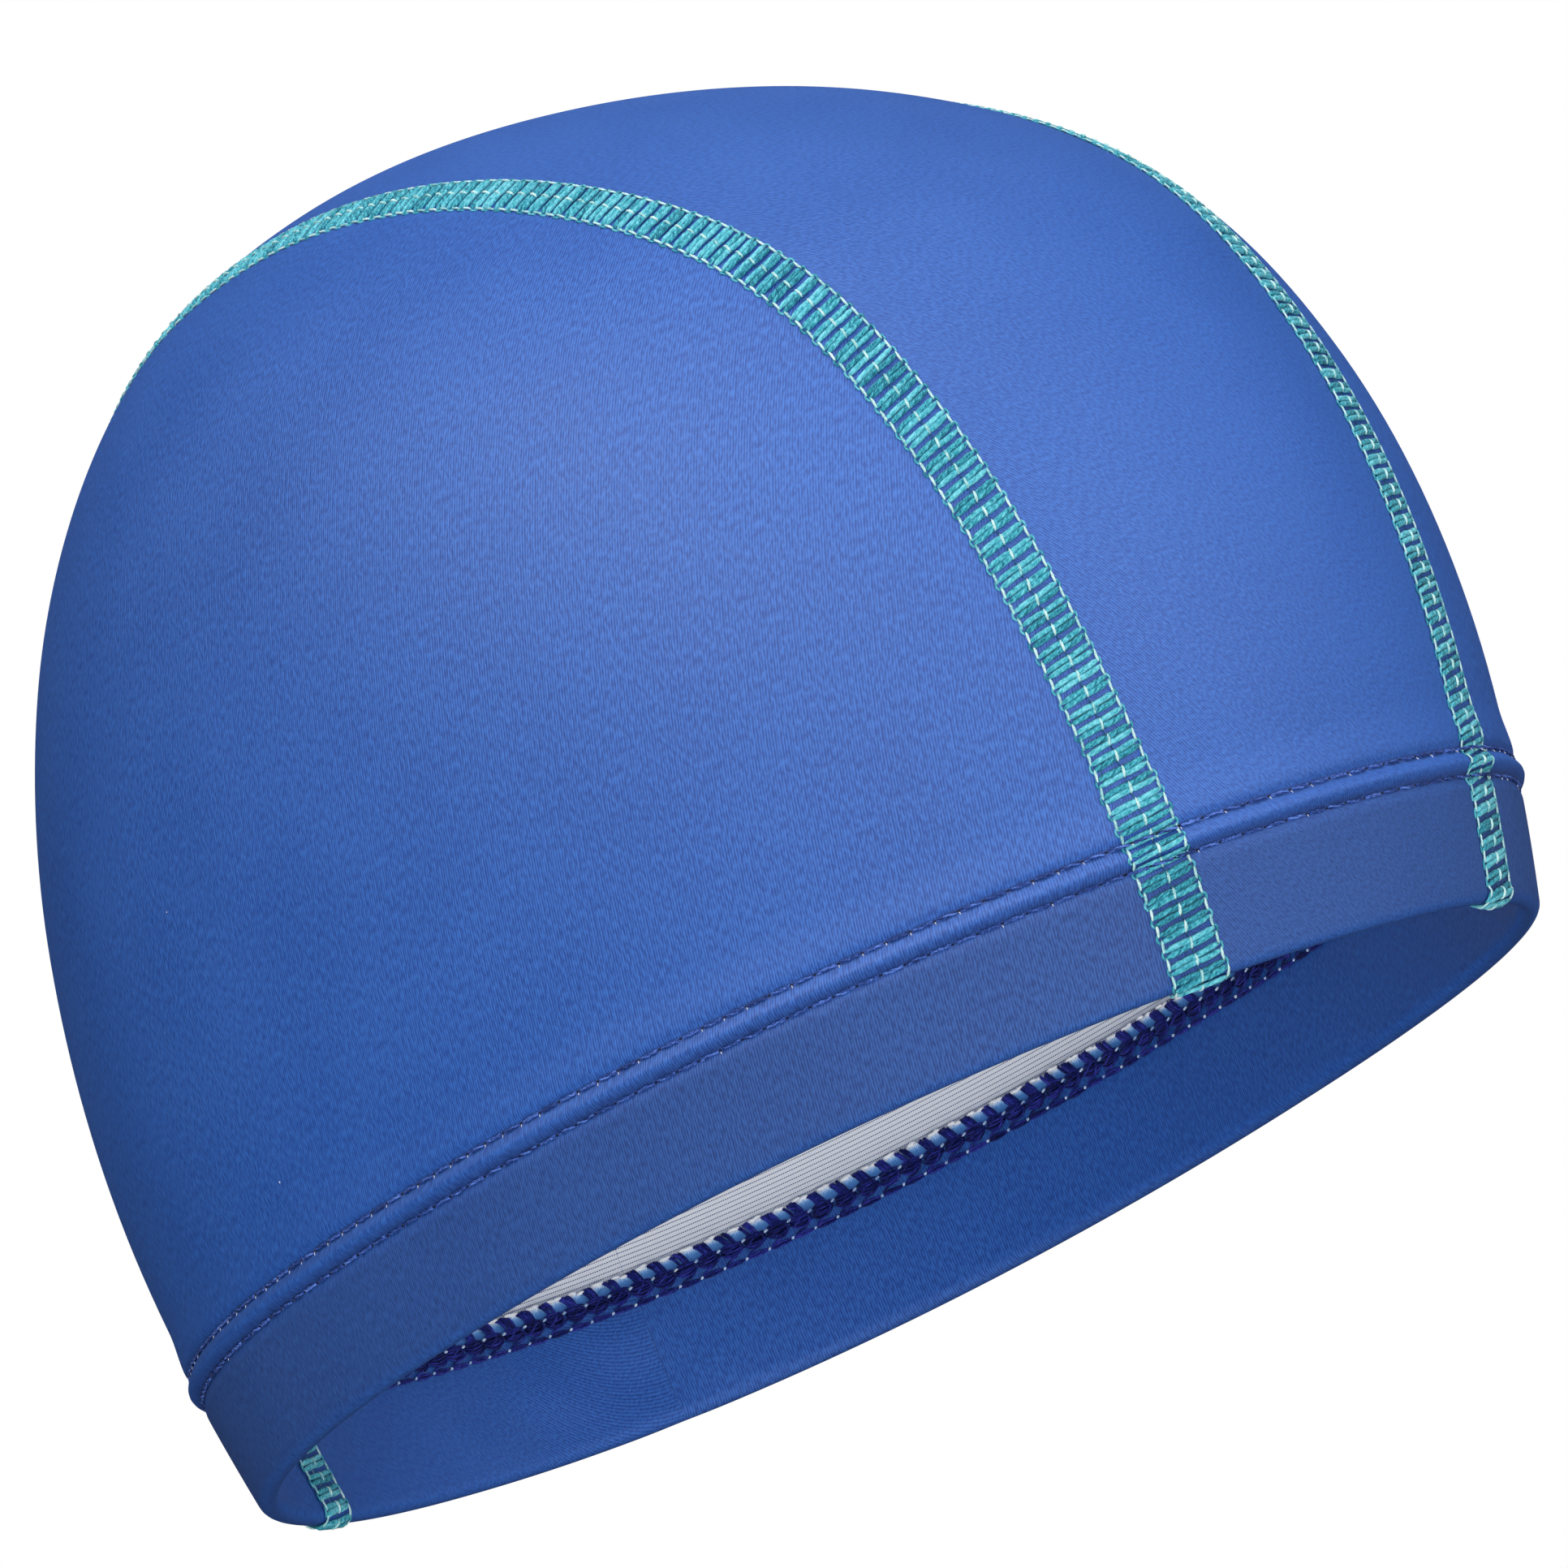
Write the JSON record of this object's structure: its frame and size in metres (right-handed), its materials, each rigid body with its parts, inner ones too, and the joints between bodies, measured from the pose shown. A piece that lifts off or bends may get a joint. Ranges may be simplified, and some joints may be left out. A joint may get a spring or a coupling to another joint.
{
  "type": "swim cap",
  "caption": "Close-fitting pull-on swim cap of coated knit: a centre panel and side panels joined by flat stitched seams, with a folded and stitched hem round the open head opening.",
  "frame": {"origin": "centre of the head opening, in the plane of the rim's folded edge at the front and back", "axes": "+Z out through the crown, -Y out of the front over the forehead, +X towards the wearer's left"},
  "size_m": [0.1554, 0.1967, 0.1448],
  "materials": {
    "centre_panel": "matt coated knit, royal blue",
    "right_panel": "matt coated knit, royal blue",
    "left_panel": "matt coated knit, royal blue",
    "right_flatlock_seam": "fluffy sewing thread, turquoise",
    "left_flatlock_seam": "fluffy sewing thread, turquoise",
    "hem_looper_stitching": "fluffy sewing thread, navy blue"
  },
  "bodies": {
    "root": {"centre_panel": "centre_panel", "right_panel": "right_panel", "left_panel": "left_panel", "right_flatlock_seam": "right_flatlock_seam", "left_flatlock_seam": "left_flatlock_seam", "hem_looper_stitching": "hem_looper_stitching"}
  },
  "joints": []
}
